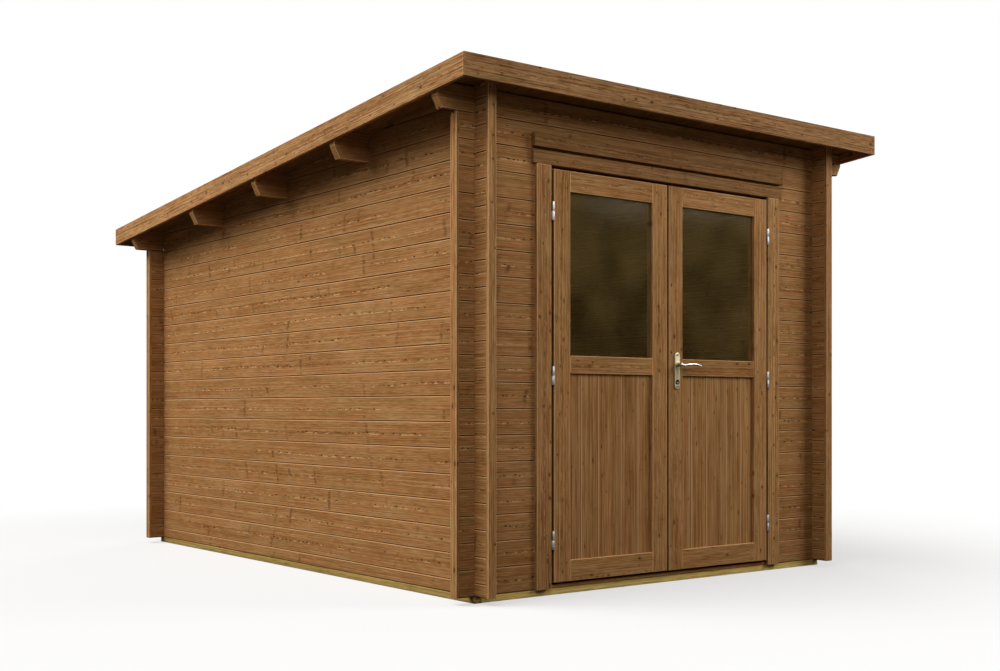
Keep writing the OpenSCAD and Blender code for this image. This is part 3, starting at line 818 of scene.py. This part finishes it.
# How far up the pane a point lies, for the painted reflection.
reflection_rise = (glass_place.split()[2] - pane_low.z) / (pane_high.z - pane_low.z)
dust_and_reflection = glass_place.noise(5.0, scale=5.0)
film_dark = (0.135, 0.088, 0.020)
film_pale = (0.225, 0.148, 0.042)
dust_and_reflection.ramp((0.3, film_dark), (0.7, film_pale)).feed(glass_shader, "Base Color")
(0.02 + reflection_rise * 0.14 + dust_and_reflection * 0.2).feed(glass_shader, "Alpha")
glass_shader.inputs["Roughness"].default_value = 0.1
glass_shader.inputs["Specular IOR Level"].default_value = 0.05
dress("left_door_glass", glass_finish)
dress("right_door_glass", glass_finish)

# Hinges: zinc plated steel lift-off hinges, three to a leaf, a pin half on the frame and a bored
# half on the leaf.
hinge_edge = 0.0005
smooth_angle = math.radians(40)


def metal(name, pattern, dark, light, least_rough, more_rough, metallic):
    """Metal whose colour and gloss vary a little with a pattern over the piece."""
    finish, shader, place = new_finish(name)
    shade = pattern(place)
    shade.ramp((0.3, dark), (0.7, light)).feed(shader, "Base Color")
    (least_rough + shade * more_rough).feed(shader, "Roughness")
    shader.inputs["Metallic"].default_value = metallic
    return finish


zinc = metal("zinc_plate", lambda place: place.noise(4.0, scale=90.0), dark=(0.36, 0.36, 0.355),
             light=(0.56, 0.56, 0.55), least_rough=0.28, more_rough=0.25, metallic=0.9)
for node, body in (("frame_hinges", "shed"), ("left_door_hinges", "left_door"),
                   ("right_door_hinges", "right_door")):
    eased(node, hinge_edge, zinc, body)
    bpy.ops.object.shade_smooth_by_angle(angle=smooth_angle)

# Handle plates: a satin nickel back plate on each face of the right leaf, screwed on, with a
# keyhole. The metal is brushed upright, and the edges are rounded.
plate_edge = 0.0015


def brushed(place):
    x, y, z = place.split()
    return (x * 2500.0).with_values(y * 2500.0, z * 120.0).noise(2.0)


satin = metal("satin_nickel", brushed, dark=(0.33, 0.28, 0.165), light=(0.51, 0.435, 0.265),
              least_rough=0.34, more_rough=0.2, metallic=0.75)
for node in ("outside_handle_plate", "inside_handle_plate"):
    eased(node, plate_edge, satin, "right_door", segments=3)
    bpy.ops.object.shade_smooth_by_angle(angle=smooth_angle)

# Screws and lock: two zinc plated screws hold the outside plate, and a near-black disc behind the
# keyhole gives the hole its painted shade.
plate_low, plate_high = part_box("outside_handle_plate")
plate_x = (plate_low.x + plate_high.x) / 2
plate_t = 0.006
screw_stand = 0.0004
screw_y = plate_high.y - plate_t - screw_stand
screw_inset = 0.0125
keyhole_drop = 0.1385
lock_stand = 0.0012
lock_drop = 0.004
lock_y = plate_high.y - lock_stand
lock_z = plate_high.z - keyhole_drop - lock_drop
round_sides = 32


def round_piece(name, place, radius, depth, inset, sunk):
    """A short round bar that faces the front. All of its edges are planed, and the planed bands are
    inset and sunk."""
    bpy.ops.object.select_all(action="DESELECT")
    bpy.ops.mesh.primitive_cylinder_add(vertices=round_sides, radius=radius, depth=depth, location=place,
                                        rotation=(math.radians(90), 0, 0))
    piece = bpy.context.object
    piece.name = name
    bpy.ops.object.transform_apply(location=True, rotation=True, scale=True)
    bpy.ops.object.mode_set(mode="EDIT")
    bpy.ops.mesh.select_mode(type="FACE")
    bpy.ops.mesh.select_all(action="SELECT")
    bpy.ops.mesh.bevel(offset=depth / 4, segments=2, affect="EDGES")
    bpy.ops.mesh.inset(thickness=inset, depth=-sunk)
    bpy.ops.object.mode_set(mode="OBJECT")
    return piece


def screw(z):
    return round_piece("screw", (plate_x, screw_y, z), radius=0.0038, depth=0.0024, inset=0.0018,
                       sunk=0.001)


screws = joined("plate_screws", [screw(plate_high.z - screw_inset), screw(plate_low.z + screw_inset)])
finished(screws, zinc, "handle_metal", "right_door")
# Painted shade: a near-black finish for the inside of the keyhole.
keyhole_shade = metal("keyhole_painted_shade", lambda place: place.noise(3.0, scale=400.0),
                   dark=(0.010, 0.009, 0.008), light=(0.030, 0.026, 0.022),
                   least_rough=0.5, more_rough=0.3, metallic=0.6)
lock_mouth = round_piece("lock_mouth", (plate_x, lock_y, lock_z), radius=0.0115, depth=0.002,
                         inset=0.008, sunk=0.0005)
finished(lock_mouth, keyhole_shade, "handle_metal", "right_door")

# Levers: one on each face of the right leaf, of polished nickel, joined by a spindle. Each has a
# hub that turns in the plate and a waved arm with rounded edges.
lever_edge = 0.0008
polished = metal("polished_nickel", lambda place: place.noise(3.0, scale=60.0),
                 dark=(0.36, 0.35, 0.33), light=(0.51, 0.50, 0.47),
                 least_rough=0.12, more_rough=0.16, metallic=1.0)
for node in ("outside_lever", "inside_lever"):
    eased(node, lever_edge, polished, "lever")
    bpy.ops.object.shade_smooth_by_angle(angle=smooth_angle)

# Studio: a pale floor that keeps the shadow and fades to white, a white surround, a broad high key
# light from the left and behind, and large soft panels at the left, in front and behind.
floor_radius = 60.0
ground_drop = 0.0005
fade_start = 2.2
fade_end = 5.0
least_white = 0.55
surround_light = 0.012
warm_white = (1.0, 0.985, 0.96)
shed_middle = Vector((0, 0, 1.0))
bpy.ops.mesh.primitive_plane_add(size=2 * floor_radius, location=(0, 0, -ground_drop))
ground = bpy.context.object
ground.name = "studio_floor"
ground_finish, ground_shader, ground_place = new_finish("studio_floor_white")
ground_shader.inputs["Base Color"].default_value = (0.64, 0.64, 0.64, 1.0)
ground_shader.inputs["Roughness"].default_value = 0.9
ground_shader.inputs["Specular IOR Level"].default_value = 0.0
ground_x, ground_y = ground_place.split()[:2]
distance = (ground_x * ground_x + ground_y * ground_y).root()
white_share = least_white + distance.rise(fade_start, fade_end) * (1.0 - least_white)
white = ground_place.node("Emission", {}, {"Color": (1, 1, 1, 1), "Strength": 1.0})
seen = ground_place.node("LightPath", {}, {}, out="Is Camera Ray")
dull = ground_place.node("BsdfDiffuse", {}, {"Color": (0.10, 0.09, 0.075, 1.0)})
pale = Flow(ground_finish.node_tree, ground_shader.outputs[0])
near_and_far = ground_place.node("MixShader", {}, {0: white_share, 1: pale, 2: white})
shown = ground_place.node("MixShader", {}, {0: seen, 1: dull, 2: near_and_far})
shown.feed(ground_finish.node_tree.nodes["Material Output"], "Surface")
ground.data.materials.append(ground_finish)

world = bpy.data.worlds.new("studio_surround")
bpy.context.scene.world = world
world.use_nodes = True
surround = world.node_tree.nodes["Background"]
surround_tree = Flow(world.node_tree)
to_camera = surround_tree.node("LightPath", {}, {}, out="Is Camera Ray")
glossy = surround_tree.node("LightPath", {}, {}, out="Is Glossy Ray")
through = surround_tree.node("LightPath", {}, {}, out="Is Transmission Ray")
direct = to_camera.larger(glossy).larger(through)
(direct * (1.0 - surround_light) + surround_light).feed(surround, "Strength")
surround.inputs["Color"].default_value = (1, 1, 1, 1)


def soft_light(name, kind, place, energy, breadth):
    """A lamp that faces the middle of the shed: a distant broad one (SUN) or a square panel (AREA)."""
    bpy.ops.object.light_add(type=kind, location=place)
    lamp = bpy.context.object
    lamp.name = name
    lamp.data.energy = energy
    lamp.data.color = warm_white
    if kind == "SUN":
        lamp.data.angle = math.radians(breadth)
    else:
        lamp.data.size = breadth
    lamp.visible_camera = False
    lamp.rotation_euler = (lamp.location - shed_middle).to_track_quat("Z", "Y").to_euler()


soft_light("key_light", "SUN", (-3.6, 1.5, 6.7), energy=3.08, breadth=50)
soft_light("left_panel", "AREA", (-4.2, 1.5, 4.2), energy=123, breadth=2.5)
soft_light("front_left_panel", "AREA", (-3.5, -5.0, 4.0), energy=105, breadth=3.0)
soft_light("front_right_panel", "AREA", (4.5, -5.0, 4.0), energy=257, breadth=3.0)
soft_light("back_right_panel", "AREA", (4.5, 5.0, 4.0), energy=170, breadth=3.0)

# The picture keeps its colours as they are.
bpy.context.scene.view_settings.view_transform = "Standard"
